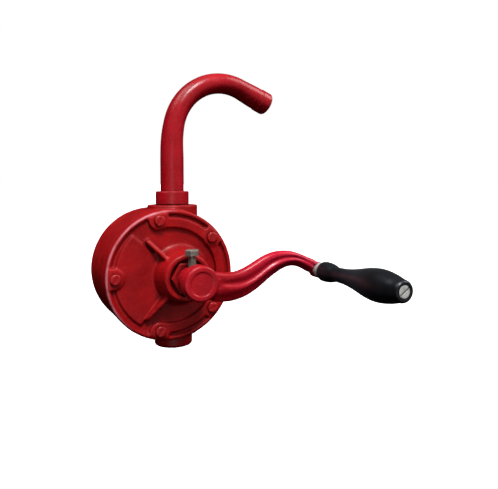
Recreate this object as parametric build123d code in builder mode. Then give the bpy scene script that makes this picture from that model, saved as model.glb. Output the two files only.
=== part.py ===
"""Rotary hand transfer pump: round cast body, bolted cover, gooseneck spout and crank.

Frame: millimetres, +Z up. The origin is the centre of the suction port's mouth, the
shaft runs along Y and the cover and crank face -Y. A depth is a distance towards the
front, so a depth of 46 lies at Y = -46.
"""
from build123d import *
from math import cos, radians, sin
import os

os.makedirs("parts", exist_ok=True)

# --- driving dimensions -------------------------------------------------------------
DRUM_X = -16.5          # drum axis, sideways from the port axis
DRUM_Z = 88.5           # drum axis above the suction mouth
DRUM_R = 71.4           # cover
BODY_R = 71.0
BORE_R = 50.0           # pumping chamber
SHAFT_X = -6.5          # shaft axis: eccentric to the chamber by 10 mm
SHAFT_R = 8.0

BODY_BACK = -40.0       # depths of the castings' faces
CHAMBER_BACK = -26.0
BODY_FRONT = 32.0
GASKET_T = 0.8
COVER_BACK = BODY_FRONT + GASKET_T
COVER_FRONT = 46.0
COVER_FLOOR = 42.5      # sunk floor between rim, band and boss
COVER_EDGE_R = 3.0

BOLT_CIRCLE_R = 61.0
BOLT_R = 4.0            # M8
BOLT_ANGLES = (40.0, 102.5, 180.0, 257.5, 320.0)    # counter-clockwise from +X

PORT_PAD_R = 29.0
TOP_PAD_RISE = 74.7     # pad faces above and below the drum axis
LOW_PAD_DROP = 73.5
INLET_R = 22.0
INLET_HOLE_R = 15.15    # 1 inch pipe thread, at its crests
INLET_HOLE_L = 24.0
PASSAGE_R = 12.0
SPOUT_THREAD_R = 16.0
SPOUT_THREAD_L = 20.0

COLLAR_R = 19.2
COLLAR_H = 15.5
TUBE_R = 13.45          # 3/4 inch steel pipe, 26.9 mm outside
TUBE_WALL = 2.65
TUBE_FOOT_Z = 150.0
FLAT_R = 12.1           # bending has flattened the tube to this half thickness
EASE_Z = 229.2          # height where the tube begins to lean over, gently at first
EASE_R = 131.0
EASE_ANGLE = 13.0
BEND_R = 64.0
BEND_ANGLE = 100.0
ROUNDING_L = 20.0       # the tube grows round again over this length
ROUND_END_L = 22.0
SPOUT_TURN = 4.2        # the spout is turned this far towards the back
BEAD_R = 14.2
BEAD_L = 14.0

BUSH_R = 11.0
REAR_BUSH_END = -44.0
FRONT_BUSH_END = 51.0
BOX_R = 13.0            # stuffing box
BOX_BACK = 52.0
BOX_FRONT = 66.5
RECESS_R = 20.0
BOSS_FRONT = 72.0
BOSS_FRONT_R = 25.6
BOSS_BASE_R = 29.5
BOSS_FOOT_R = 34.0

ROTOR_R = 39.7
ROTOR_BACK = CHAMBER_BACK + 0.3
ROTOR_FRONT = COVER_BACK - 0.3
VANE_T = 7.0
VANE_TIP_R = 39.5
VANE_L = 28.0
SLOT_FLOOR_R = 11.0
SPRING_R = 2.6
SPRING_WIRE_R = 0.5
SPRING_DEPTHS = (-10.0, 17.0)
POCKET_L = 14.0

SLEEVE_R = 13.0
SLEEVE_BACK = 75.0
HUB_R = 18.3
HUB_BACK = 97.0
HUB_FRONT = 112.5
GRIP_X = 138.0          # grip axis from the shaft axis
GRIP_RISE = 3.9
EYE_R = 8.7
EYE_BACK = 99.0
SPACER_BACK = 109.6     # the spacer is let into the end of the arm
SPACER_R = 8.4
SPACER_FRONT = 117.6
GRIP_BACK = 118.0
GRIP_FRONT = 246.0
SPINDLE_R = 5.0
SPINDLE_HEAD_R = 6.3
SPINDLE_HEAD_BACK = 242.2
SPINDLE_HEAD_FRONT = 245.6
SET_BOLT_DEPTH = 83.0
SET_BOLT_RISE = 25.4    # underside of the set bolt's head above the shaft axis

# crank arm, section by section: distance from the shaft axis, heights of its top edge,
# ridge and bottom edge above that axis, and depth of the groove above the ridge
ARM_SECTIONS = [
    (10, 11.0, -3.0, -17.8, 0.0),
    (22, 9.8, -4.2, -21.2, 0.6),
    (34, 9.0, -5.2, -21.5, 1.6),
    (45, 11.3, -5.2, -19.6, 1.8),
    (56, 16.1, -1.9, -15.5, 1.8),
    (67, 21.7, 4.6, -9.2, 1.8),
    (78, 25.9, 12.0, -1.5, 1.8),
    (90, 27.6, 16.9, 5.6, 1.6),
    (103, 26.6, 18.2, 9.8, 1.4),
    (115, 22.9, 15.8, 7.6, 1.0),
    (126, 18.2, 10.0, 1.8, 0.5),
    (137, 12.3, 4.8, -3.0, 0.0),
]
ARM_BACK = 100.5
ARM_FRONT = 111.3

# grip outline: depth, radius
GRIP_PROFILE = [
    (118.0, 9.6), (120.0, 10.5), (125.0, 10.7), (131.0, 10.3), (136.0, 9.4), (141.0, 8.1), (150.0, 7.85),
    (160.0, 8.35), (170.0, 9.6), (180.0, 11.3), (190.0, 13.4), (200.0, 15.1), (210.0, 15.95),
    (218.0, 15.65), (226.0, 14.5), (234.0, 12.8), (241.0, 11.0), (244.6, 10.2), (246.0, 8.8),
]

SHAFT_Z = DRUM_Z
GRIP_AXIS_X = SHAFT_X + GRIP_X
GRIP_AXIS_Z = SHAFT_Z + GRIP_RISE
TOP_PAD_Z = DRUM_Z + TOP_PAD_RISE
LOW_PAD_Z = DRUM_Z - LOW_PAD_DROP


def front(depth):
    """Plane at this depth, facing the front: local x is +X and local y is +Z."""
    return Plane.XZ.offset(depth)


def axial(x, z):
    """Plane through a front-to-back axis: local x is depth and local y is radius."""
    return Plane(origin=(x, 0, z), x_dir=(0, -1, 0), z_dir=(-1, 0, 0))


def axis_y(x, z):
    return Axis((x, 0, z), (0, -1, 0))


def ring_point(radius, angle):
    """Point on a circle about the drum axis, as local coordinates of front()."""
    return (DRUM_X + radius * cos(radians(angle)), DRUM_Z + radius * sin(radians(angle)))


BOLT_POINTS = [ring_point(BOLT_CIRCLE_R, a) for a in BOLT_ANGLES]

# --- pump body ----------------------------------------------------------------------
REAR_BOSS_R = 19.0
REAR_BOSS_END = -51.0
REAR_RIB_ANGLES = (90.0, 210.0, 330.0)
with BuildPart() as pump_body:
    with BuildSketch(front(BODY_BACK)):
        with Locations((DRUM_X, DRUM_Z)):
            Circle(BODY_R)
    extrude(amount=BODY_FRONT - BODY_BACK)
    fillet(pump_body.edges().group_by(Axis.Y)[-1], 6.0)
    # round pads of the two ports
    with BuildSketch(Plane.XY.offset(LOW_PAD_Z)):
        Circle(PORT_PAD_R)
    extrude(amount=TOP_PAD_Z - LOW_PAD_Z)
    fillet(pump_body.edges().group_by(Axis.Z)[-1], 1.5)
    fillet(pump_body.edges().group_by(Axis.Z)[0], 1.5)
    # suction boss
    with BuildSketch(Plane.XY):
        Circle(INLET_R)
    extrude(amount=LOW_PAD_Z + 5)
    fillet(pump_body.edges().group_by(Axis.Z)[0], 3.5)
    # rear bearing boss and its ribs
    with BuildSketch(front(REAR_BOSS_END)):
        with Locations((SHAFT_X, SHAFT_Z)):
            Circle(REAR_BOSS_R)
    extrude(amount=BODY_BACK - REAR_BOSS_END + 4)
    fillet(pump_body.edges().group_by(Axis.Y)[-1], 2.5)
    for angle in REAR_RIB_ANGLES:
        rib_plane = Plane(
            origin=(SHAFT_X, 0, SHAFT_Z),
            x_dir=(cos(radians(angle)), 0, sin(radians(angle))),
            z_dir=(-sin(radians(angle)), 0, cos(radians(angle))),
        )
        with BuildSketch(rib_plane):
            with BuildLine():
                Polyline((12, 36), (12, 48), (18, 48), (50, 41.5), (50, 36), close=True)
            make_face()
        extrude(amount=2.75, both=True)
    # chamber, ports, bearing and tapped holes
    with BuildSketch(front(CHAMBER_BACK)):
        with Locations((DRUM_X, DRUM_Z)):
            Circle(BORE_R)
    extrude(amount=BODY_FRONT - CHAMBER_BACK + 1, mode=Mode.SUBTRACT)
    with BuildSketch(Plane.XY):
        Circle(INLET_HOLE_R)
    extrude(amount=INLET_HOLE_L, mode=Mode.SUBTRACT)
    with BuildSketch(Plane.XY.offset(INLET_HOLE_L - 1)):
        Circle(PASSAGE_R)
    extrude(amount=TOP_PAD_Z, mode=Mode.SUBTRACT)
    with BuildSketch(Plane.XY.offset(TOP_PAD_Z - SPOUT_THREAD_L)):
        Circle(SPOUT_THREAD_R)
    extrude(amount=SPOUT_THREAD_L + 1, mode=Mode.SUBTRACT)
    with BuildSketch(front(REAR_BUSH_END)):
        with Locations((SHAFT_X, SHAFT_Z)):
            Circle(BUSH_R)
    extrude(amount=CHAMBER_BACK - REAR_BUSH_END + 1, mode=Mode.SUBTRACT)
    with BuildSketch(front(BODY_FRONT - 18)):
        with Locations(*BOLT_POINTS):
            Circle(BOLT_R)
    extrude(amount=19, mode=Mode.SUBTRACT)
pump_body.part.label = "pump_body"

# --- cover gasket -------------------------------------------------------------------
with BuildPart() as cover_gasket:
    with BuildSketch(front(BODY_FRONT)):
        with Locations((DRUM_X, DRUM_Z)):
            Circle(BODY_R - 0.4)
            Circle(BORE_R + 1, mode=Mode.SUBTRACT)
        with Locations(*BOLT_POINTS):
            Circle(BOLT_R + 0.5, mode=Mode.SUBTRACT)
    extrude(amount=GASKET_T)
cover_gasket.part.label = "cover_gasket"

# --- front cover --------------------------------------------------------------------
RIM_INNER_R = 67.0
BAND_OUTER_R = 62.9
BAND_INNER_R = 51.3
BAND_START = -106.0     # the raised band runs counter-clockwise to BAND_END
BAND_END = 110.5
PLATEAU_R = 62.0
PAD_R = 12.0
PAD_CENTRE_R = 62.5
PAD_EDGE_R = 68.2        # the pads run out into the rim
RIB_REACH = {133.5: 54.0, 230.0: 60.0}  # each rib's angle about the shaft axis and its length from it
with BuildPart() as front_cover:
    with BuildSketch(front(COVER_BACK)):
        with Locations((DRUM_X, DRUM_Z)):
            Circle(DRUM_R)
    extrude(amount=COVER_FRONT - COVER_BACK)
    fillet(front_cover.edges().group_by(Axis.Y)[0], COVER_EDGE_R)
    with BuildSketch(front(COVER_FRONT)):
        with Locations((DRUM_X, DRUM_Z)):
            Circle(RIM_INNER_R)
    extrude(amount=COVER_FLOOR - COVER_FRONT, taper=20, mode=Mode.SUBTRACT)
    # raised band, three quarters of the way round
    with BuildSketch(front(COVER_FLOOR - 1)):
        with Locations((DRUM_X, DRUM_Z)):
            Circle(BAND_OUTER_R)
            Circle(BAND_INNER_R, mode=Mode.SUBTRACT)
        with BuildLine():
            Polyline(
                (DRUM_X, DRUM_Z),
                ring_point(95, BAND_END),
                ring_point(130, 160),
                ring_point(130, 205),
                ring_point(95, BAND_START),
                close=True,
            )
        make_face(mode=Mode.SUBTRACT)
    extrude(amount=COVER_FRONT - COVER_FLOOR + 1.4, taper=10)
    # flat left field between the two ribs
    with BuildSketch(front(COVER_FLOOR - 1)):
        with Locations((DRUM_X, DRUM_Z)):
            Circle(PLATEAU_R)
        with BuildLine():
            Polyline(
                (SHAFT_X, SHAFT_Z),
                ring_point(110, 135),
                ring_point(130, 180),
                ring_point(110, 234),
                close=True,
            )
        make_face(mode=Mode.INTERSECT)
    extrude(amount=COVER_FRONT - COVER_FLOOR + 0.4, taper=12)
    # screw pads
    with BuildSketch(front(COVER_FLOOR - 1)):
        with Locations(*[ring_point(PAD_CENTRE_R, a) for a in BOLT_ANGLES]):
            Circle(PAD_R)
        with Locations((DRUM_X, DRUM_Z)):
            Circle(PAD_EDGE_R, mode=Mode.INTERSECT)
    extrude(amount=COVER_FRONT - COVER_FLOOR + 2.0, taper=8)
    # shaft boss: flared foot, cone and chamfered nose
    with BuildSketch(axial(SHAFT_X, SHAFT_Z)):
        with BuildLine():
            Polyline(
                (COVER_BACK + 1, 0),
                (COVER_BACK + 1, BOSS_FOOT_R - 2),
                (COVER_FLOOR, BOSS_FOOT_R),
                (COVER_FLOOR + 2.2, BOSS_BASE_R + 1.6),
                (COVER_FRONT + 1.5, BOSS_BASE_R),
                (BOSS_FRONT - 2, BOSS_FRONT_R),
                (BOSS_FRONT - 0.5, BOSS_FRONT_R - 0.5),
                (BOSS_FRONT, BOSS_FRONT_R - 2),
                (BOSS_FRONT, 0),
                close=True,
            )
        make_face()
    revolve(axis=axis_y(SHAFT_X, SHAFT_Z))
    for angle, reach in RIB_REACH.items():
        rib_plane = Plane(
            origin=(SHAFT_X, 0, SHAFT_Z),
            x_dir=(cos(radians(angle)), 0, sin(radians(angle))),
            z_dir=(sin(radians(angle)), 0, -cos(radians(angle))),
        )
        with BuildSketch(rib_plane):
            with BuildLine():
                Polyline(
                    (20, 41), (20, 63), (28, 60.5), (reach - 2.5, 49), (reach, 47), (reach, 41), close=True
                )
            make_face()
        extrude(amount=2.3, both=True)
    # recess, stuffing box, bush seat and screw holes
    with BuildSketch(front(BOX_FRONT)):
        with Locations((SHAFT_X, SHAFT_Z)):
            Circle(RECESS_R)
    extrude(amount=BOSS_FRONT - BOX_FRONT + 1, mode=Mode.SUBTRACT)
    with BuildSketch(front(BOX_BACK)):
        with Locations((SHAFT_X, SHAFT_Z)):
            Circle(BOX_R)
    extrude(amount=BOX_FRONT - BOX_BACK + 1, mode=Mode.SUBTRACT)
    with BuildSketch(front(COVER_BACK)):
        with Locations((SHAFT_X, SHAFT_Z)):
            Circle(BUSH_R)
    extrude(amount=BOX_BACK - COVER_BACK + 1, mode=Mode.SUBTRACT)
    with BuildSketch(front(COVER_BACK)):
        with Locations(*BOLT_POINTS):
            Circle(BOLT_R + 0.4)
    extrude(amount=18, mode=Mode.SUBTRACT)
front_cover.part.label = "front_cover"

# --- cover screws -------------------------------------------------------------------
PAD_TOP = COVER_FRONT + 1.0
HEAD_R = 6.2
HEAD_H = 3.4
SLOT_DEPTH = 0.7
with BuildPart() as cover_screws:
    with BuildSketch(front(PAD_TOP)):
        with Locations(*BOLT_POINTS):
            Circle(HEAD_R)
    extrude(amount=HEAD_H)
    fillet(cover_screws.edges().group_by(Axis.Y)[0], 1.4)
    with BuildSketch(front(PAD_TOP + HEAD_H - SLOT_DEPTH)):
        for point, angle in zip(BOLT_POINTS, BOLT_ANGLES):
            with Locations(point):
                Rectangle(14, 1.4, rotation=2.3 * angle)
    extrude(amount=3, mode=Mode.SUBTRACT)
    with BuildSketch(front(BODY_FRONT - 16)):
        with Locations(*BOLT_POINTS):
            Circle(BOLT_R)
    extrude(amount=PAD_TOP - BODY_FRONT + 16)
cover_screws.part.label = "cover_screws"

# --- shaft, key and bushes ----------------------------------------------------------
KEY_W = 5.0
KEY_BACK = -16.0
KEY_L = 40.0
with BuildPart() as pump_shaft:
    with BuildSketch(front(REAR_BUSH_END + 0.6)):
        with Locations((SHAFT_X, SHAFT_Z)):
            Circle(SHAFT_R)
    extrude(amount=HUB_FRONT - 4.5 - REAR_BUSH_END - 0.6)
    chamfer(pump_shaft.edges().group_by(Axis.Y)[0], 0.8)
    with BuildSketch(front(KEY_BACK)):
        with Locations((SHAFT_X + SHAFT_R, SHAFT_Z)):
            Rectangle(KEY_W, KEY_W)
    extrude(amount=KEY_L, mode=Mode.SUBTRACT)
    # flat for the crank's set bolt
    with BuildSketch(front(SET_BOLT_DEPTH - 6)):
        with Locations((SHAFT_X, SHAFT_Z + SHAFT_R + 2.2)):
            Rectangle(20, 6)
    extrude(amount=12, mode=Mode.SUBTRACT)
pump_shaft.part.label = "pump_shaft"

with BuildPart() as rotor_key:
    with BuildSketch(front(KEY_BACK)):
        with Locations((SHAFT_X + SHAFT_R, SHAFT_Z)):
            Rectangle(KEY_W, KEY_W)
    extrude(amount=KEY_L)
rotor_key.part.label = "rotor_key"

with BuildPart() as rear_bush:
    with BuildSketch(front(REAR_BUSH_END)):
        with Locations((SHAFT_X, SHAFT_Z)):
            Circle(BUSH_R)
            Circle(SHAFT_R + 0.04, mode=Mode.SUBTRACT)
    extrude(amount=CHAMBER_BACK - REAR_BUSH_END)
rear_bush.part.label = "rear_bush"

with BuildPart() as front_bush:
    with BuildSketch(front(COVER_BACK)):
        with Locations((SHAFT_X, SHAFT_Z)):
            Circle(BUSH_R)
            Circle(SHAFT_R + 0.04, mode=Mode.SUBTRACT)
    extrude(amount=FRONT_BUSH_END - COVER_BACK)
front_bush.part.label = "front_bush"

# --- packing and gland nut ----------------------------------------------------------
PACKING_T = 2.9
PACKING_COUNT = 2
GLAND_AF = 32.0
GLAND_HEAD_H = 5.0
with BuildPart() as packing_rings:
    for i in range(PACKING_COUNT):
        with BuildSketch(front(BOX_BACK + i * PACKING_T + 0.1 * i)):
            with Locations((SHAFT_X, SHAFT_Z)):
                Circle(BOX_R - 0.05)
                Circle(SHAFT_R + 0.05, mode=Mode.SUBTRACT)
        extrude(amount=PACKING_T)
packing_rings.part.label = "packing_rings"

with BuildPart() as gland_nut:
    with BuildSketch(front(BOX_FRONT)):
        with Locations((SHAFT_X, SHAFT_Z)):
            RegularPolygon(GLAND_AF / 2, 6, major_radius=False)
    extrude(amount=GLAND_HEAD_H)
    chamfer(gland_nut.edges().group_by(Axis.Y)[0], 1.2)
    with BuildSketch(front(BOX_BACK + PACKING_COUNT * (PACKING_T + 0.1))):
        with Locations((SHAFT_X, SHAFT_Z)):
            Circle(BOX_R)
    extrude(amount=BOX_FRONT - BOX_BACK - PACKING_COUNT * (PACKING_T + 0.1))
    with BuildSketch(front(BOX_BACK)):
        with Locations((SHAFT_X, SHAFT_Z)):
            Circle(SHAFT_R + 0.5)
    extrude(amount=BOSS_FRONT - BOX_BACK, mode=Mode.SUBTRACT)
gland_nut.part.label = "gland_nut"

# --- rotor, vanes and springs -------------------------------------------------------
with BuildPart() as rotor:
    with BuildSketch(front(ROTOR_BACK)):
        with Locations((SHAFT_X, SHAFT_Z)):
            Circle(ROTOR_R)
            Circle(SHAFT_R, mode=Mode.SUBTRACT)
        with Locations((SHAFT_X + SHAFT_R, SHAFT_Z)):
            Rectangle(KEY_W, KEY_W, mode=Mode.SUBTRACT)
        with Locations(
            (SHAFT_X, SHAFT_Z + SLOT_FLOOR_R + ROTOR_R / 2),
            (SHAFT_X, SHAFT_Z - SLOT_FLOOR_R - ROTOR_R / 2),
        ):
            Rectangle(VANE_T + 0.2, ROTOR_R, mode=Mode.SUBTRACT)
    extrude(amount=ROTOR_FRONT - ROTOR_BACK)
    # blind lightening pockets in the back face
    with BuildSketch(front(ROTOR_BACK)):
        with Locations((SHAFT_X, SHAFT_Z)):
            with PolarLocations(24, 4, start_angle=45):
                Circle(7.5)
    extrude(amount=46, mode=Mode.SUBTRACT)
rotor.part.label = "rotor"

# the vanes are drawn fully home, where they pass the chamber's nearest wall
VANE_MID_R = VANE_TIP_R - VANE_L / 2
POCKET_TOP_R = VANE_TIP_R - VANE_L + POCKET_L
with BuildPart() as vane_upper:
    with BuildSketch(front(ROTOR_BACK)):
        with Locations((SHAFT_X, SHAFT_Z + VANE_MID_R)):
            Rectangle(VANE_T, VANE_L)
    extrude(amount=ROTOR_FRONT - ROTOR_BACK)
    fillet(vane_upper.edges().filter_by(Axis.Y).group_by(Axis.Z)[-1], 1.2)
    with BuildSketch(Plane.XY.offset(SHAFT_Z + SLOT_FLOOR_R)):
        with Locations(*[(SHAFT_X, -d) for d in SPRING_DEPTHS]):
            Circle(SPRING_R + SPRING_WIRE_R + 0.05)
    extrude(amount=POCKET_TOP_R - SLOT_FLOOR_R, mode=Mode.SUBTRACT)
vane_upper.part.label = "vane_upper"

with BuildPart() as vane_lower:
    with BuildSketch(front(ROTOR_BACK)):
        with Locations((SHAFT_X, SHAFT_Z - VANE_MID_R)):
            Rectangle(VANE_T, VANE_L)
    extrude(amount=ROTOR_FRONT - ROTOR_BACK)
    fillet(vane_lower.edges().filter_by(Axis.Y).group_by(Axis.Z)[0], 1.2)
    with BuildSketch(Plane.XY.offset(SHAFT_Z - SLOT_FLOOR_R)):
        with Locations(*[(SHAFT_X, -d) for d in SPRING_DEPTHS]):
            Circle(SPRING_R + SPRING_WIRE_R + 0.05)
    extrude(amount=SLOT_FLOOR_R - POCKET_TOP_R, mode=Mode.SUBTRACT)
vane_lower.part.label = "vane_lower"

SPRING_L = POCKET_TOP_R - SLOT_FLOOR_R - 2 * SPRING_WIRE_R - 0.1
with BuildPart() as vane_springs:
    for sign in (1, -1):
        foot = SLOT_FLOOR_R + SPRING_WIRE_R + 0.05
        low_end = SHAFT_Z + foot if sign > 0 else SHAFT_Z - foot - SPRING_L
        for depth in SPRING_DEPTHS:
            with BuildLine() as coil:
                Helix(
                    pitch=SPRING_L / 6,
                    height=SPRING_L,
                    radius=SPRING_R,
                    center=(SHAFT_X, -depth, low_end),
                )
            with BuildSketch(Plane(origin=coil.line @ 0, z_dir=coil.line % 0)):
                Circle(SPRING_WIRE_R)
            sweep(path=coil.line, is_frenet=True)
vane_springs.part.label = "vane_springs"

# --- spout and its collar -----------------------------------------------------------
TURN = radians(SPOUT_TURN)
SPOUT_PLANE = Plane(
    origin=(0, 0, 0), x_dir=(cos(TURN), sin(TURN), 0), z_dir=(sin(TURN), -cos(TURN), 0)
)


def across_spout(point, heading):
    """Plane across the spout at a point of its own plane; the heading is in degrees from +Z."""
    a = radians(heading)
    return Plane(
        origin=SPOUT_PLANE.from_local_coords((point[0], point[1], 0)),
        x_dir=(cos(a) * cos(TURN), cos(a) * sin(TURN), -sin(a)),
        z_dir=(sin(a) * cos(TURN), sin(a) * sin(TURN), cos(a)),
    )


def ease_point(angle):
    a = radians(angle)
    return (EASE_R - EASE_R * cos(a), EASE_Z + EASE_R * sin(a))


EASE_END = ease_point(EASE_ANGLE)
END_ANGLE = EASE_ANGLE + BEND_ANGLE
BEND_CENTRE = (
    EASE_END[0] + BEND_R * cos(radians(EASE_ANGLE)),
    EASE_END[1] - BEND_R * sin(radians(EASE_ANGLE)),
)
BEND_END = (
    BEND_CENTRE[0] - BEND_R * cos(radians(END_ANGLE)),
    BEND_CENTRE[1] + BEND_R * sin(radians(END_ANGLE)),
)
BEND_END_PLANE = across_spout(BEND_END, END_ANGLE)
MOUTH_PLANE = BEND_END_PLANE.offset(ROUNDING_L + ROUND_END_L)
BEND_AXIS = Axis(SPOUT_PLANE.from_local_coords((*BEND_CENTRE, 0)), SPOUT_PLANE.z_dir)
ROUND_BELOW = 14.0      # the flattening begins this far below the lean
with BuildPart() as spout_tube:
    for inset, mode in ((0, Mode.ADD), (TUBE_WALL, Mode.SUBTRACT)):
        # round riser
        with BuildSketch(Plane.XY.offset(TUBE_FOOT_Z)):
            Circle(TUBE_R - inset)
        extrude(amount=EASE_Z - ROUND_BELOW - TUBE_FOOT_Z, mode=mode)
        # it leans over and flattens step by step
        with BuildSketch(Plane.XY.offset(EASE_Z - ROUND_BELOW)):
            Circle(TUBE_R - inset)
        for step in range(4):
            angle = EASE_ANGLE * step / 3
            flat = TUBE_R - (TUBE_R - FLAT_R) * (step + 1) / 4
            with BuildSketch(across_spout(ease_point(angle), angle)):
                Ellipse(flat - inset, TUBE_R - inset)
        loft(mode=mode)
        # flattened bend
        with BuildSketch(across_spout(EASE_END, EASE_ANGLE)):
            Ellipse(FLAT_R - inset, TUBE_R - inset)
        revolve(axis=BEND_AXIS, revolution_arc=-BEND_ANGLE, mode=mode)
        # straight end, round again
        with BuildSketch(BEND_END_PLANE):
            Ellipse(FLAT_R - inset, TUBE_R - inset)
        with BuildSketch(MOUTH_PLANE.offset(-ROUND_END_L)):
            Circle(TUBE_R - inset)
        loft(mode=mode)
        with BuildSketch(MOUTH_PLANE.offset(-ROUND_END_L)):
            Circle(TUBE_R - inset)
        extrude(amount=ROUND_END_L, mode=mode)
        if mode == Mode.ADD:
            # rolled bead round the mouth
            with BuildSketch(MOUTH_PLANE.offset(-BEAD_L)):
                Circle(BEAD_R)
            extrude(amount=BEAD_L)
            rings = spout_tube.edges().filter_by(GeomType.CIRCLE)
            fillet(rings.sort_by_distance(MOUTH_PLANE.origin)[0], 3.0)
spout_tube.part.label = "spout_tube"

with BuildPart() as spout_collar:
    with BuildSketch(Plane.XY.offset(TOP_PAD_Z + 1.0)):
        Circle(COLLAR_R)
    extrude(amount=COLLAR_H - 1.0)
    chamfer(spout_collar.edges().group_by(Axis.Z)[-1], 0.8)
    with BuildSketch(Plane.XY.offset(TOP_PAD_Z - SPOUT_THREAD_L + 2)):
        Circle(SPOUT_THREAD_R)
    extrude(amount=SPOUT_THREAD_L)
    with BuildSketch(Plane.XY.offset(TOP_PAD_Z - SPOUT_THREAD_L)):
        Circle(TUBE_R - TUBE_WALL)
    extrude(amount=40, mode=Mode.SUBTRACT)
    with BuildSketch(Plane.XY.offset(TUBE_FOOT_Z)):
        Circle(TUBE_R)
    extrude(amount=40, mode=Mode.SUBTRACT)
spout_collar.part.label = "spout_collar"

with BuildPart() as collar_seal:
    with BuildSketch(Plane.XY.offset(TOP_PAD_Z)):
        Circle(COLLAR_R - 0.6)
        Circle(SPOUT_THREAD_R, mode=Mode.SUBTRACT)
    extrude(amount=1.0)
collar_seal.part.label = "collar_seal"

# --- crank --------------------------------------------------------------------------
with BuildPart() as crank_arm:
    for x, top, ridge, low, groove in ARM_SECTIONS:
        upper = top - ridge
        height = top - low
        with BuildSketch(axial(SHAFT_X + x, SHAFT_Z)):
            with BuildLine():
                Spline(
                    (ARM_BACK + 1.0, top - 2.5),
                    (ARM_BACK + 3.5, top - 0.2),
                    (ARM_FRONT - 4.3, top),
                    (ARM_FRONT - 1.0, top - 1.6),
                    (ARM_FRONT, top - 0.42 * upper),
                    (ARM_FRONT - 0.7 * groove, top - 0.64 * upper),
                    (ARM_FRONT - groove, top - 0.82 * upper),
                    (ARM_FRONT - 0.2, ridge),
                    (ARM_FRONT - 1.8, low + 0.3 * height),
                    (ARM_FRONT - 4.8, low + 0.12 * height),
                    (ARM_BACK + 3.5, low + 0.3),
                    (ARM_BACK + 1.0, low + 1.5),
                    (ARM_BACK, (top + low) / 2),
                    periodic=True,
                )
            make_face()
    loft()
    # hub with a rimmed face, and the sleeve behind it
    with BuildSketch(axial(SHAFT_X, SHAFT_Z)):
        with BuildLine():
            Polyline(
                (SLEEVE_BACK, 0),
                (SLEEVE_BACK, SLEEVE_R - 1),
                (SLEEVE_BACK + 1, SLEEVE_R),
                (HUB_BACK, SLEEVE_R),
                (HUB_BACK, HUB_R - 1.5),
                (HUB_BACK + 1.5, HUB_R),
                (HUB_FRONT - 2.5, HUB_R),
                (HUB_FRONT - 0.7, HUB_R - 0.8),
                (HUB_FRONT, HUB_R - 2.5),
                (HUB_FRONT, 12.6),
                (HUB_FRONT - 0.9, 11.6),
                (HUB_FRONT - 0.9, 0),
                close=True,
            )
        make_face()
    revolve(axis=axis_y(SHAFT_X, SHAFT_Z))
    # eye that carries the grip's spindle
    with BuildSketch(axial(GRIP_AXIS_X, GRIP_AXIS_Z)):
        with BuildLine():
            Polyline(
                (EYE_BACK, 0),
                (EYE_BACK, EYE_R - 1.5),
                (EYE_BACK + 1.5, EYE_R),
                (ARM_FRONT + 0.4, EYE_R),
                (ARM_FRONT + 0.4, 0),
                close=True,
            )
        make_face()
    revolve(axis=axis_y(GRIP_AXIS_X, GRIP_AXIS_Z))
    with BuildSketch(front(SPACER_BACK)):
        with Locations((GRIP_AXIS_X, GRIP_AXIS_Z)):
            Circle(EYE_R + 0.1)
    extrude(amount=ARM_FRONT - SPACER_BACK + 2, mode=Mode.SUBTRACT)
    # shaft socket, spindle hole and set bolt hole
    with BuildSketch(front(SLEEVE_BACK)):
        with Locations((SHAFT_X, SHAFT_Z)):
            Circle(SHAFT_R)
    extrude(amount=HUB_FRONT - 4.5 - SLEEVE_BACK, mode=Mode.SUBTRACT)
    with BuildSketch(front(EYE_BACK - 1)):
        with Locations((GRIP_AXIS_X, GRIP_AXIS_Z)):
            Circle(SPINDLE_R)
    extrude(amount=SPACER_BACK - EYE_BACK + 2, mode=Mode.SUBTRACT)
    with BuildSketch(Plane.XY.offset(SHAFT_Z)):
        with Locations((SHAFT_X, -SET_BOLT_DEPTH)):
            Circle(BOLT_R)
    extrude(amount=SLEEVE_R + 2, mode=Mode.SUBTRACT)
crank_arm.part.label = "crank_arm"

SET_BOLT_HEAD_Z = SHAFT_Z + SET_BOLT_RISE
with BuildPart() as crank_set_bolt:
    with BuildSketch(Plane.XY.offset(SET_BOLT_HEAD_Z)):
        with Locations((SHAFT_X, -SET_BOLT_DEPTH)):
            RegularPolygon(6.5, 6, major_radius=False)
    extrude(amount=6.0)
    chamfer(crank_set_bolt.edges().group_by(Axis.Z)[-1], 0.7)
    with BuildSketch(Plane.XY.offset(SHAFT_Z + SHAFT_R - 0.8)):
        with Locations((SHAFT_X, -SET_BOLT_DEPTH)):
            Circle(BOLT_R)
    extrude(amount=SET_BOLT_HEAD_Z - SHAFT_Z - SHAFT_R + 0.8)
crank_set_bolt.part.label = "crank_set_bolt"

# --- grip ---------------------------------------------------------------------------
with BuildPart() as grip_spindle:
    with BuildSketch(front(EYE_BACK - 2)):
        with Locations((GRIP_AXIS_X, GRIP_AXIS_Z)):
            Circle(SPINDLE_R)
    extrude(amount=SPINDLE_HEAD_BACK - EYE_BACK + 2)
    with BuildSketch(front(SPINDLE_HEAD_BACK)):
        with Locations((GRIP_AXIS_X, GRIP_AXIS_Z)):
            Circle(SPINDLE_HEAD_R)
    extrude(amount=SPINDLE_HEAD_FRONT - SPINDLE_HEAD_BACK)
    fillet(grip_spindle.edges().group_by(Axis.Y)[0], 1.0)
    with BuildSketch(front(SPINDLE_HEAD_FRONT - 1.6)):
        with Locations((GRIP_AXIS_X, GRIP_AXIS_Z)):
            Rectangle(16, 1.8, rotation=35)
    extrude(amount=3, mode=Mode.SUBTRACT)
grip_spindle.part.label = "grip_spindle"

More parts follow.
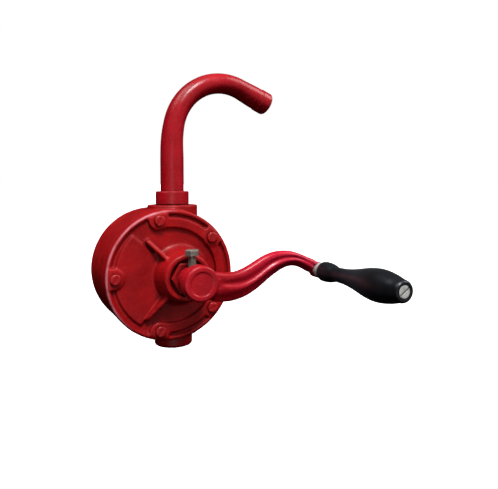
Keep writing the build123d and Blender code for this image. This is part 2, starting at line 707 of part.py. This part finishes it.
with BuildPart() as grip_washer:
    with BuildSketch(front(SPACER_BACK)):
        with Locations((GRIP_AXIS_X, GRIP_AXIS_Z)):
            Circle(SPACER_R)
            Circle(SPINDLE_R, mode=Mode.SUBTRACT)
    extrude(amount=SPACER_FRONT - SPACER_BACK)
    chamfer(grip_washer.edges().group_by(Axis.Y)[0].sort_by(SortBy.LENGTH)[-1], 0.6)
grip_washer.part.label = "grip_washer"

with BuildPart() as handle_grip:
    with BuildSketch(axial(GRIP_AXIS_X, GRIP_AXIS_Z)):
        with BuildLine():
            Spline(*GRIP_PROFILE)
            Polyline(GRIP_PROFILE[-1], (GRIP_FRONT, 0), (GRIP_BACK, 0), GRIP_PROFILE[0])
        make_face()
    revolve(axis=axis_y(GRIP_AXIS_X, GRIP_AXIS_Z))
    with BuildSketch(front(GRIP_BACK)):
        with Locations((GRIP_AXIS_X, GRIP_AXIS_Z)):
            Circle(SPINDLE_R + 0.08)
    extrude(amount=GRIP_FRONT - GRIP_BACK, mode=Mode.SUBTRACT)
    with BuildSketch(front(SPINDLE_HEAD_BACK - 0.3)):
        with Locations((GRIP_AXIS_X, GRIP_AXIS_Z)):
            Circle(SPINDLE_HEAD_R + 0.4)
    extrude(amount=6, mode=Mode.SUBTRACT)
handle_grip.part.label = "handle_grip"

# --- export -------------------------------------------------------------------------
export_step(pump_body.part, "parts/pump_body.step")
export_step(cover_gasket.part, "parts/cover_gasket.step")
export_step(front_cover.part, "parts/front_cover.step")
export_step(cover_screws.part, "parts/cover_screws.step")
export_step(pump_shaft.part, "parts/pump_shaft.step")
export_step(rotor_key.part, "parts/rotor_key.step")
export_step(rear_bush.part, "parts/rear_bush.step")
export_step(front_bush.part, "parts/front_bush.step")
export_step(packing_rings.part, "parts/packing_rings.step")
export_step(gland_nut.part, "parts/gland_nut.step")
export_step(rotor.part, "parts/rotor.step")
export_step(vane_upper.part, "parts/vane_upper.step")
export_step(vane_lower.part, "parts/vane_lower.step")
export_step(vane_springs.part, "parts/vane_springs.step")
export_step(spout_tube.part, "parts/spout_tube.step")
export_step(spout_collar.part, "parts/spout_collar.step")
export_step(collar_seal.part, "parts/collar_seal.step")
export_step(crank_arm.part, "parts/crank_arm.step")
export_step(crank_set_bolt.part, "parts/crank_set_bolt.step")
export_step(grip_spindle.part, "parts/grip_spindle.step")
export_step(grip_washer.part, "parts/grip_washer.step")
export_step(handle_grip.part, "parts/handle_grip.step")
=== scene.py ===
"""Looks of the rotary hand transfer pump: cast skins, finishes, floor, light and camera."""

import math

import bmesh
import bpy
import numpy as np
from mathutils import Matrix, Vector


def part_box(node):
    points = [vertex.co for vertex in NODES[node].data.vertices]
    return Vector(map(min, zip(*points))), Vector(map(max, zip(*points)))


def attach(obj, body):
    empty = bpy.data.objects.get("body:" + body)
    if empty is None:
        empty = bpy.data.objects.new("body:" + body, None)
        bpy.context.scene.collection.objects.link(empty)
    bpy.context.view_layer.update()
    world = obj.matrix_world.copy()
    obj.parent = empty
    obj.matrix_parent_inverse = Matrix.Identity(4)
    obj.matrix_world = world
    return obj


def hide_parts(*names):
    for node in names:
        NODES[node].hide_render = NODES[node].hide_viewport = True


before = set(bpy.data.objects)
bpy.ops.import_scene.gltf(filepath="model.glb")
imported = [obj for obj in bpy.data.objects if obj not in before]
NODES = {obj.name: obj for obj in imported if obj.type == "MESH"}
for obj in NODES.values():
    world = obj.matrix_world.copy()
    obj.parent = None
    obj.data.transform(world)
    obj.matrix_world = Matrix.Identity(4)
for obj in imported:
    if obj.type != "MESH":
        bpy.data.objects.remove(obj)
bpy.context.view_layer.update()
MM = 0.001
WHITE = (1.0, 1.0, 1.0, 1.0)


def centre(node_name):
    """Centre of a CAD node's box."""
    return [0.5 * (low + high) for low, high in zip(*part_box(node_name))]


# --- node materials -----------------------------------------------------------------
# sockets of a Mix node that mixes colours
MIX_AMOUNT = 0
MIX_FROM = 6
MIX_TO = 7
MIX_RESULT = 2

# cosine between the true and the rounded normal where an edge begins and where it is full
EDGE_BEGINS = 0.999
EDGE_FULL = 0.93

# openness where a crevice begins and where it is full
CREVICE_BEGINS = 0.85
CREVICE_FULL = 0.25


class Finish:
    """A procedural material under construction, in object coordinates (metres)."""

    def __init__(self, name, **sockets):
        self.material = bpy.data.materials.new(name)
        self.material.use_nodes = True
        self.tree = self.material.node_tree
        self.shader = self.tree.nodes["Principled BSDF"]
        for socket, value in sockets.items():
            self.shader.inputs[socket.replace("_", " ")].default_value = value
        self.place = self.add("TexCoord").outputs["Object"]

    def add(self, kind, inputs=None, **settings):
        """New node of a kind, with its settings and with values or links on its inputs."""
        node = self.tree.nodes.new("ShaderNode" + kind)
        for key, value in settings.items():
            setattr(node, key, value)
        for key, value in (inputs or {}).items():
            self.set(node.inputs[key], value)
        return node

    def set(self, socket, value):
        if isinstance(value, bpy.types.NodeSocket):
            self.tree.links.new(value, socket)
        else:
            socket.default_value = value

    def noise(self, size_mm, detail=3.0, rough=0.5, warp=0.0, place=None):
        """Noise whose features are about size_mm wide, mostly between 0.25 and 0.75."""
        inputs = {
            "Vector": place or self.place,
            "Scale": 1.0 / (size_mm * MM),
            "Detail": detail,
            "Roughness": rough,
            "Distortion": warp,
        }
        return self.add("TexNoise", inputs).outputs["Fac"]

    def stretched(self, x, y, z):
        """Object coordinates scaled per axis, for grain that runs one way."""
        return self.add("Mapping", {"Vector": self.place, "Scale": (x, y, z)}).outputs["Vector"]

    def span(self, value, low, high, to_low=0.0, to_high=1.0):
        """Maps low..high to to_low..to_high, clamped."""
        inputs = {
            "Value": value,
            "From Min": low,
            "From Max": high,
            "To Min": to_low,
            "To Max": to_high,
        }
        return self.add("MapRange", inputs, clamp=True).outputs["Result"]

    def maths(self, operation, a, b=0.0):
        return self.add("Math", {0: a, 1: b}, operation=operation).outputs["Value"]

    def mix(self, amount, colour, other):
        """The colour, with the other one over it by an amount between 0 and 1."""
        inputs = {MIX_AMOUNT: amount, MIX_FROM: colour, MIX_TO: other}
        return self.add("Mix", inputs, data_type="RGBA").outputs[MIX_RESULT]

    def bump(self, height, depth_mm, normal=None):
        inputs = {"Height": height, "Distance": depth_mm * MM}
        if normal is not None:
            inputs["Normal"] = normal
        return self.add("Bump", inputs).outputs["Normal"]

    def soft_edges(self, radius_mm):
        """Normals rounded over sharp edges."""
        return self.add("Bevel", {"Radius": radius_mm * MM}, samples=4).outputs["Normal"]

    def edges(self, radius_mm):
        """1 along sharp edges and 0 on open faces."""
        normals = {0: self.soft_edges(radius_mm), 1: self.add("NewGeometry").outputs["Normal"]}
        agreement = self.add("VectorMath", normals, operation="DOT_PRODUCT").outputs["Value"]
        return self.span(agreement, EDGE_BEGINS, EDGE_FULL)

    def openness(self, reach_mm):
        """1 in the open, less where other surfaces stand within reach."""
        return self.add("AmbientOcclusion", {"Distance": reach_mm * MM}, samples=6).outputs["AO"]

    def crevices(self, reach_mm):
        """1 in tight corners and 0 in the open."""
        return self.span(self.openness(reach_mm), CREVICE_BEGINS, CREVICE_FULL)

    def finish(self, colour, roughness, normal=None):
        """Links the colour, roughness and normal to the shader and returns the material."""
        self.set(self.shader.inputs["Base Color"], colour)
        self.set(self.shader.inputs["Roughness"], roughness)
        if normal is not None:
            self.set(self.shader.inputs["Normal"], normal)
        return self.material


def srgb(red, green, blue):
    """Colour from 0-255 sRGB values."""
    channels = [c / 255.0 for c in (red, green, blue)]
    linear = [c / 12.92 if c <= 0.04045 else ((c + 0.055) / 1.055) ** 2.4 for c in channels]
    return (*linear, 1.0)


def darker(colour, share):
    """The colour at a share of its brightness."""
    return (*(share * c for c in colour[:3]), 1.0)


# --- red enamel ---------------------------------------------------------------------
PAINT_IOR = 1.5
COAT_ROUGHNESS = 0.22
BARE_IRON = srgb(74, 66, 64)
BARE_RIM = srgb(200, 112, 124)

# sizes of the enamel's features
BLOTCH_MM = 34          # slow changes of shade
SPECKLE_MM = 2.2        # lighter dots
POOL_AND_SHADE_MM = 9             # corners: duller pooled paint, and darkened as painted shade
RECESS_SHADE_MM = 50         # wide recesses, darkened as painted shade
THIN_AND_HIGHLIGHT_MM = 5             # lighter stretches along edges: thin paint and painted highlight
CHIP_MM = 1.6           # bare chips in edges
SHINE_MM = 14           # duller and glossier patches
LUMP_MM = 11            # the casting's unevenness

# the pale line on the cover's rim, where the paint is worn
RIM_INSET_MM = 1.6      # from the cover's outline to the middle of the line
RIM_HALF_MM = 1.3       # half the line's width, soft edge included
RIM_SOFT_MM = 0.7       # its soft edge
RIM_PATCH_MM = 7
RIM_RISE_MM = 8         # bearings are taken about a point this far above the cover's centre
RIM_MIDDLE = 0.35       # bearing of the line's middle, in radians up from the far left
RIM_REACH = 1.35        # radians from its middle to its ends
RIM_STRONG = 1.0        # radians from its middle to where it starts to fade
RIM_BEGINS_MM = 9       # in front of the cover's back face
RIM_FULL_MM = 10


def worn_rim(f):
    """Mask of the worn line along the left side and top of the cover's outer edge."""
    low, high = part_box("front_cover")
    middle = centre("front_cover")
    outline = 0.5 * (high[0] - low[0])
    from_middle = {0: f.place, 1: (middle[0], high[1], middle[2])}
    offset = f.add("VectorMath", from_middle, operation="SUBTRACT").outputs["Vector"]
    parts = f.add("SeparateXYZ", {"Vector": offset}).outputs
    left = f.maths("MULTIPLY", parts["X"], -1.0)
    up = parts["Z"]
    squares = f.maths("ADD", f.maths("MULTIPLY", left, left), f.maths("MULTIPLY", up, up))
    past_line = f.maths("SUBTRACT", f.maths("SQRT", squares), outline - RIM_INSET_MM * MM)
    off_line = f.maths("ABSOLUTE", past_line)
    line = f.span(off_line, RIM_HALF_MM * MM, (RIM_HALF_MM - RIM_SOFT_MM) * MM)
    bearing = f.maths("ARCTAN2", f.maths("SUBTRACT", up, RIM_RISE_MM * MM), left)
    turn = f.maths("ABSOLUTE", f.maths("SUBTRACT", bearing, RIM_MIDDLE))
    left_side = f.span(turn, RIM_REACH, RIM_STRONG)
    front_side = f.span(parts["Y"], -RIM_BEGINS_MM * MM, -RIM_FULL_MM * MM)
    patchy = f.span(f.noise(RIM_PATCH_MM), 0.28, 0.5, 0.45, 1.0)
    mask = f.maths("MULTIPLY", line, f.maths("MULTIPLY", left_side, patchy))
    return f.maths("MULTIPLY", mask, front_side)


FADE_MARGIN_MM = 20     # from the shaft and from the grip
FADE_MOST = 0.5


def towards_grip(f):
    """0 at the crank's hub, rising to the grip's end, where the paint turns a pinker red."""
    shaft_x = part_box("pump_shaft")[1][0]
    grip_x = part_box("handle_grip")[0][0]
    margin = FADE_MARGIN_MM * MM
    along = f.add("SeparateXYZ", {"Vector": f.place}).outputs["X"]
    return f.span(along, shaft_x + margin, grip_x - margin, to_high=FADE_MOST)


def red_paint(
    name, base, deep, light, grain_mm, grain_depth_mm, lump_depth_mm, rough, edge_mm, specular, coat,
    grip_end_tint=None, rim=False,
):
    """Red enamel over a casting: mottled colour, duller pooled paint and painted shade in corners,
    painted shade in wide recesses, lighter edges of thin paint and painted highlight.
    """
    f = Finish(
        name, IOR=PAINT_IOR, Specular_IOR_Level=specular,
        Coat_Weight=coat, Coat_Roughness=COAT_ROUGHNESS, Coat_IOR=PAINT_IOR,
    )
    blotches = f.span(f.noise(BLOTCH_MM, detail=2.0), 0.35, 0.68)
    colour = f.mix(blotches, base, deep)
    speckle = f.span(f.noise(SPECKLE_MM, rough=0.6), 0.56, 0.74, to_high=0.35)
    colour = f.mix(speckle, colour, light)
    # painted shade: corners darkened; the same mask makes pooled paint duller
    pool_and_shade_strength = f.span(f.noise(POOL_AND_SHADE_MM), 0.25, 0.6, 0.45, 0.85)
    pooled_paint_and_shade = f.maths("MULTIPLY", f.crevices(POOL_AND_SHADE_MM), pool_and_shade_strength)
    colour = f.mix(pooled_paint_and_shade, colour, darker(deep, 0.6))
    # painted shade: wide recesses, such as under the crank's hub, darkened
    painted_recess_shade = f.span(f.openness(RECESS_SHADE_MM), 0.62, 0.3, to_high=0.8)
    colour = f.mix(painted_recess_shade, colour, darker(deep, 0.3))
    edge = f.edges(edge_mm)
    # lighter edges: partly thin paint, partly painted highlight
    thin_paint_and_highlight = f.span(f.noise(THIN_AND_HIGHLIGHT_MM, detail=4.0), 0.42, 0.62, to_high=0.45)
    colour = f.mix(f.maths("MULTIPLY", edge, thin_paint_and_highlight), colour, light)
    chips = f.span(f.noise(CHIP_MM, detail=4.0, rough=0.7), 0.68, 0.73)
    colour = f.mix(f.maths("MULTIPLY", edge, chips), colour, BARE_IRON)
    if grip_end_tint:
        colour = f.mix(towards_grip(f), colour, grip_end_tint)
    if rim:
        colour = f.mix(worn_rim(f), colour, BARE_RIM)
    shine = f.noise(SHINE_MM, detail=4.0, rough=0.6)
    roughness = f.span(shine, 0.3, 0.72, rough - 0.07, rough + 0.10)
    roughness = f.maths("ADD", roughness, f.maths("MULTIPLY", pooled_paint_and_shade, 0.18))
    normal = f.bump(f.noise(LUMP_MM, detail=2.0), lump_depth_mm, f.soft_edges(edge_mm))
    normal = f.bump(f.noise(grain_mm, rough=0.62), grain_depth_mm, normal)
    return f.finish(colour, roughness, normal)


PAINTS = {
    "cast_red": dict(
        base=srgb(176, 15, 20), deep=srgb(146, 9, 15), light=srgb(204, 50, 60),
        grain_mm=1.5, grain_depth_mm=0.18, lump_depth_mm=0.6, rough=0.42, edge_mm=1.4,
        specular=0.22, coat=0.08,
    ),
    "crank_red": dict(
        base=srgb(190, 20, 34), deep=srgb(164, 13, 26), light=srgb(218, 76, 96),
        grain_mm=1.3, grain_depth_mm=0.12, lump_depth_mm=0.4, rough=0.30, edge_mm=1.2,
        specular=0.25, coat=0.25, grip_end_tint=srgb(212, 30, 70),
    ),
    "tube_red": dict(
        base=srgb(188, 19, 33), deep=srgb(162, 13, 25), light=srgb(216, 62, 80),
        grain_mm=1.2, grain_depth_mm=0.07, lump_depth_mm=0.35, rough=0.30, edge_mm=1.0,
        specular=0.28, coat=0.28,
    ),
    "screw_red": dict(
        base=srgb(170, 18, 24), deep=srgb(140, 12, 18), light=srgb(200, 56, 64),
        grain_mm=0.8, grain_depth_mm=0.05, lump_depth_mm=0.1, rough=0.34, edge_mm=0.5,
        specular=0.3, coat=0.15,
    ),
}
MATERIALS = {name: red_paint(name, **look) for name, look in PAINTS.items()}

# --- metals -------------------------------------------------------------------------
METAL_PATCH_MM = 6
METAL_GRAIN_MM = 0.9
METAL_CORNER_MM = 2.5
METAL_EDGE_MM = 0.5


def metal(name, base, dark, light, rough, depth_mm=0.02, metallic=1.0):
    """Worn metal: fine grain, dull patches, darker tight corners and bright rubbed edges."""
    f = Finish(name, Metallic=metallic)
    patches = f.noise(METAL_PATCH_MM, detail=4.0, rough=0.6)
    colour = f.mix(f.span(patches, 0.38, 0.68), base, dark)
    colour = f.mix(f.maths("MULTIPLY", f.edges(METAL_EDGE_MM), 0.8), colour, light)
    # darker in tight corners
    darker_corners = f.maths("MULTIPLY", f.crevices(METAL_CORNER_MM), 0.7)
    colour = f.mix(darker_corners, colour, darker(dark, 0.25))
    roughness = f.span(patches, 0.3, 0.75, rough - 0.08, rough + 0.16)
    normal = f.bump(f.noise(METAL_GRAIN_MM, detail=4.0), depth_mm, f.soft_edges(METAL_EDGE_MM))
    return f.finish(colour, roughness, normal)


METALS = {
    "zinc": dict(
        base=srgb(222, 220, 216), dark=srgb(180, 180, 176), light=srgb(242, 242, 240), rough=0.42,
        metallic=0.3,
    ),
    "steel": dict(
        base=srgb(176, 176, 178), dark=srgb(128, 128, 130), light=srgb(222, 222, 224), rough=0.28,
    ),
    "spring_steel": dict(
        base=srgb(120, 122, 128), dark=srgb(84, 86, 92), light=srgb(180, 180, 186), rough=0.35,
    ),
    "iron": dict(
        base=srgb(96, 94, 92), dark=srgb(66, 64, 62), light=srgb(150, 148, 146), rough=0.5,
        depth_mm=0.08,
    ),
    "bronze": dict(
        base=srgb(176, 128, 72), dark=srgb(120, 84, 46), light=srgb(214, 170, 108), rough=0.34,
    ),
}
MATERIALS.update({name: metal(name, **look) for name, look in METALS.items()})


# --- packing, gasket and grip -------------------------------------------------------
def fibre(name, base, dark, size_mm):
    """Soft fibrous sheet or packing."""
    f = Finish(name)
    strands = f.noise(size_mm, detail=5.0, rough=0.7, place=f.stretched(1, 3, 1))
    colour = f.mix(f.span(strands, 0.35, 0.65), base, dark)
    return f.finish(colour, f.span(strands, 0.3, 0.7, 0.75, 0.95), f.bump(strands, 0.15))


MATERIALS["packing"] = fibre("packing", srgb(52, 50, 48), srgb(28, 27, 26), 0.8)
MATERIALS["gasket"] = fibre("gasket", srgb(96, 40, 38), srgb(58, 24, 24), 0.9)

TURNING_MM = 1.6        # the lathe's rings
RUBBED_MM = 16
DUST_MM = 0.9


def grip_black():
    """Black lacquered turned grip: faint turning rings, dust, rubbed patches and painted highlight
    along its edges.
    """
    f = Finish(
        "grip_black", IOR=1.5, Specular_IOR_Level=0.35, Specular_Tint=(0.75, 0.85, 1.0, 1.0),
        Coat_Weight=0.35, Coat_Roughness=0.25, Coat_IOR=1.5,
        Sheen_Weight=0.12, Sheen_Roughness=0.45, Sheen_Tint=(0.8, 0.85, 1.0, 1.0),
    )
    rings = f.noise(TURNING_MM, place=f.stretched(0.04, 1, 0.04))
    rubbed = f.noise(RUBBED_MM, detail=4.0, rough=0.6, warp=0.4)
    dust = f.noise(DUST_MM, rough=0.7)
    colour = f.mix(f.span(rubbed, 0.42, 0.7), srgb(4, 4, 6), srgb(10, 10, 13))
    colour = f.mix(f.span(dust, 0.62, 0.8, to_high=0.25), colour, srgb(50, 51, 62))
    # painted highlight: edges lightened to grey
    colour = f.mix(f.maths("MULTIPLY", f.edges(0.8), 0.4), colour, srgb(66, 66, 70))
    roughness = f.span(rubbed, 0.3, 0.72, 0.32, 0.46)
    normal = f.bump(rings, 0.09, f.soft_edges(0.6))
    normal = f.bump(dust, 0.02, normal)
    return f.finish(colour, roughness, normal)


MATERIALS["grip_black"] = grip_black()

# --- which node wears what ----------------------------------------------------------
SLOT_OF = {
    "pump_body": "cast_red",
    "front_cover": "cast_red",
    "cover_gasket": "gasket",
    "cover_screws": "screw_red",
    "pump_shaft": "steel",
    "rotor_key": "steel",
    "rear_bush": "bronze",
    "front_bush": "bronze",
    "packing_rings": "packing",
    "gland_nut": "cast_red",
    "rotor": "iron",
    "vane_upper": "bronze",
    "vane_lower": "bronze",
    "vane_springs": "spring_steel",
    "spout_tube": "tube_red",
    "spout_collar": "tube_red",
    "collar_seal": "gasket",
    "crank_arm": "crank_red",
    "crank_set_bolt": "zinc",
    "grip_spindle": "zinc",
    "grip_washer": "zinc",
    "handle_grip": "grip_black",
}

# finishes of single nodes, in place of their slot's
OWN_FINISH = {
    "front_cover": red_paint("cover_red", rim=True, **PAINTS["cast_red"]),
    "crank_set_bolt": metal(
        "dull_zinc", srgb(158, 150, 140), srgb(104, 98, 90), srgb(222, 208, 202), rough=0.38,
        metallic=0.5,
    ),
}


def finish_of(node_name):
    return OWN_FINISH.get(node_name, MATERIALS[SLOT_OF[node_name]])


def dress(piece, material):
    """Gives a piece one material, in place of any that it has."""
    piece.data.materials.clear()
    piece.data.materials.append(material)


for node_name in SLOT_OF:
    dress(NODES[node_name], finish_of(node_name))

# --- cast skins ---------------------------------------------------------------------
WAVE_MM = 13


def cast_skin(node_name, piece_name, body, voxel_mm, passes, wobble_mm, level=0.62):
    """Stands for a cast CAD node: the same shape with a casting's soft corners and slight waves.

    The waves swell where their noise is above the level and sink where it is below.
    """
    piece = bpy.data.objects.new(piece_name, NODES[node_name].data.copy())
    bpy.context.scene.collection.objects.link(piece)
    remesh = piece.modifiers.new("remesh", "REMESH")
    remesh.mode = "VOXEL"
    remesh.voxel_size = voxel_mm * MM
    smooth = piece.modifiers.new("smooth", "SMOOTH")
    smooth.factor = 0.5
    smooth.iterations = passes
    waves = bpy.data.textures.new(piece_name + "_waves", "CLOUDS")
    waves.noise_scale = WAVE_MM * MM
    waves.noise_depth = 1
    displace = piece.modifiers.new("waves", "DISPLACE")
    displace.texture = waves
    displace.texture_coords = "LOCAL"
    displace.strength = wobble_mm * MM
    displace.mid_level = level
    graph = bpy.context.evaluated_depsgraph_get()
    mesh = bpy.data.meshes.new_from_object(piece.evaluated_get(graph), depsgraph=graph)
    piece.modifiers.clear()
    piece.data = mesh
    mesh.polygons.foreach_set("use_smooth", np.ones(len(mesh.polygons), bool))
    dress(piece, finish_of(node_name))
    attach(piece, body)
    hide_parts(node_name)
    return piece


def clear_bore(piece, vane, gap_mm, skin_mm):
    """Moves a skin's bore and end wall out of the space that a vane sweeps, with a gap.

    Only the points within about skin_mm of that space's edge are moved.
    """
    low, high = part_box(vane)
    shaft = centre("pump_shaft")
    axis = np.array((shaft[0], shaft[2]))
    gap = gap_mm * MM
    skin = skin_mm * MM
    half_width = max(abs(low[0] - axis[0]), abs(high[0] - axis[0]))
    reach = math.hypot(half_width, high[2] - axis[1]) + gap
    end = high[1] + gap
    points = np.empty(3 * len(piece.data.vertices))
    piece.data.vertices.foreach_get("co", points)
    points = points.reshape(-1, 3)
    arms = points[:, (0, 2)] - axis
    radii = np.hypot(arms[:, 0], arms[:, 1])
    swept = (radii < reach) & (points[:, 1] > low[1] - gap) & (points[:, 1] < end)
    at_wall = swept & (radii > reach - skin)
    at_end = swept & (points[:, 1] > high[1] - skin)
    points[np.ix_(at_wall, (0, 2))] = axis + arms[at_wall] * (reach / radii[at_wall])[:, None]
    points[at_end, 1] = end
    piece.data.vertices.foreach_set("co", points.ravel())
    piece.data.update()


body_casting = cast_skin(
    "pump_body", "body_casting", "pump", voxel_mm=0.9, passes=4, wobble_mm=0.25, level=0.9,
)
cast_skin("front_cover", "cover_casting", "pump", voxel_mm=0.8, passes=12, wobble_mm=0.25)
cast_skin("crank_arm", "crank_casting", "crank", voxel_mm=0.5, passes=3, wobble_mm=0.12)
cast_skin("cover_screws", "painted_screws", "pump", voxel_mm=0.35, passes=80, wobble_mm=0.1)

clear_bore(body_casting, "vane_upper", gap_mm=0.1, skin_mm=2.0)

# --- floor and backdrop -------------------------------------------------------------
FLOOR_RADIUS = 40.0     # metres, far past the view
FLOOR_SIDES = 96
FLOOR_GAP_MM = 4.0      # between the floor and the grip's lowest sweep
FLOOR_GLOW = 0.85
FLOOR_TONE_MM = 260


def floor_finish():
    """Pale matt floor that glows evenly, so that it stays plain under the lamps."""
    f = Finish("floor", Emission_Color=WHITE, Emission_Strength=FLOOR_GLOW)
    tone = f.noise(FLOOR_TONE_MM, detail=2.0)
    colour = f.mix(f.span(tone, 0.3, 0.7), srgb(240, 240, 241), srgb(236, 236, 238))
    return f.finish(colour, f.span(tone, 0.3, 0.7, 0.72, 0.8))


floor_mesh = bpy.data.meshes.new("floor")
floor = bpy.data.objects.new("floor", floor_mesh)
bpy.context.scene.collection.objects.link(floor)
builder = bmesh.new()
bmesh.ops.create_circle(builder, cap_ends=True, segments=FLOOR_SIDES, radius=FLOOR_RADIUS)
builder.to_mesh(floor_mesh)
builder.free()
shaft_x, _, shaft_z = centre("pump_shaft")
crank_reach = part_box("handle_grip")[1][0] - shaft_x
floor.location.z = shaft_z - crank_reach - FLOOR_GAP_MM * MM
floor.visible_diffuse = False
floor.visible_glossy = False
dress(floor, floor_finish())

# a white backdrop that neither lights the pump nor shows in its gloss
world = bpy.data.worlds.new("studio")
bpy.context.scene.world = world
world.use_nodes = True
world.node_tree.nodes["Background"].inputs["Color"].default_value = WHITE
world.node_tree.nodes["Background"].inputs["Strength"].default_value = 1.0
world.cycles_visibility.diffuse = False
world.cycles_visibility.glossy = False


# --- light --------------------------------------------------------------------------
def sun(name, azimuth, elevation, width, strength, glossy=True):
    """Distant lamp, with its angles in degrees; azimuth 0 is in front and 90 on the right."""
    data = bpy.data.lights.new(name, "SUN")
    data.angle = math.radians(width)
    data.energy = strength
    lamp = bpy.data.objects.new(name, data)
    turn, rise = math.radians(azimuth), math.radians(elevation)
    away = Vector((math.sin(turn) * math.cos(rise), -math.cos(turn) * math.cos(rise), math.sin(rise)))
    lamp.rotation_euler = away.to_track_quat("Z", "Y").to_euler()
    lamp.visible_camera = False
    lamp.visible_glossy = glossy
    bpy.context.scene.collection.objects.link(lamp)


sun("key", azimuth=-10, elevation=57, width=18, strength=3.0)
sun("dome", azimuth=0, elevation=50, width=150, strength=0.55)
sun("upper_left", azimuth=-90, elevation=62, width=36, strength=0.9)
sun("right", azimuth=72, elevation=38, width=34, strength=1.1)
sun("low_front", azimuth=-20, elevation=-16, width=40, strength=0.28)
sun("back", azimuth=165, elevation=14, width=60, strength=0.9, glossy=False)

# --- camera -------------------------------------------------------------------------
SENSOR_MM = 36.0
LENS_MM = 40.5451
SHIFT_UP = -0.091365
CAMERA_AT = Vector((-205.365, -625.608, 190.899)) * MM
CAMERA_RIGHT_DEG = 25.9662      # how far it looks to the right of straight ahead
CAMERA_DOWN_DEG = 1.9046
CAMERA_ROLL_DEG = 0.2305

camera_data = bpy.data.cameras.new("camera")
camera_data.sensor_width = SENSOR_MM
camera_data.lens = LENS_MM
camera_data.shift_y = SHIFT_UP
camera_data.clip_start = 0.02
camera_data.clip_end = 50.0
camera = bpy.data.objects.new("camera", camera_data)
bpy.context.scene.collection.objects.link(camera)
look_right = Matrix.Rotation(math.radians(-CAMERA_RIGHT_DEG), 4, "Z")
look_down = Matrix.Rotation(math.radians(90.0 - CAMERA_DOWN_DEG), 4, "X")
roll = Matrix.Rotation(math.radians(-CAMERA_ROLL_DEG), 4, "Z")
camera.matrix_world = Matrix.Translation(CAMERA_AT) @ look_right @ look_down @ roll
bpy.context.scene.camera = camera
bpy.context.scene.view_settings.view_transform = "Standard"
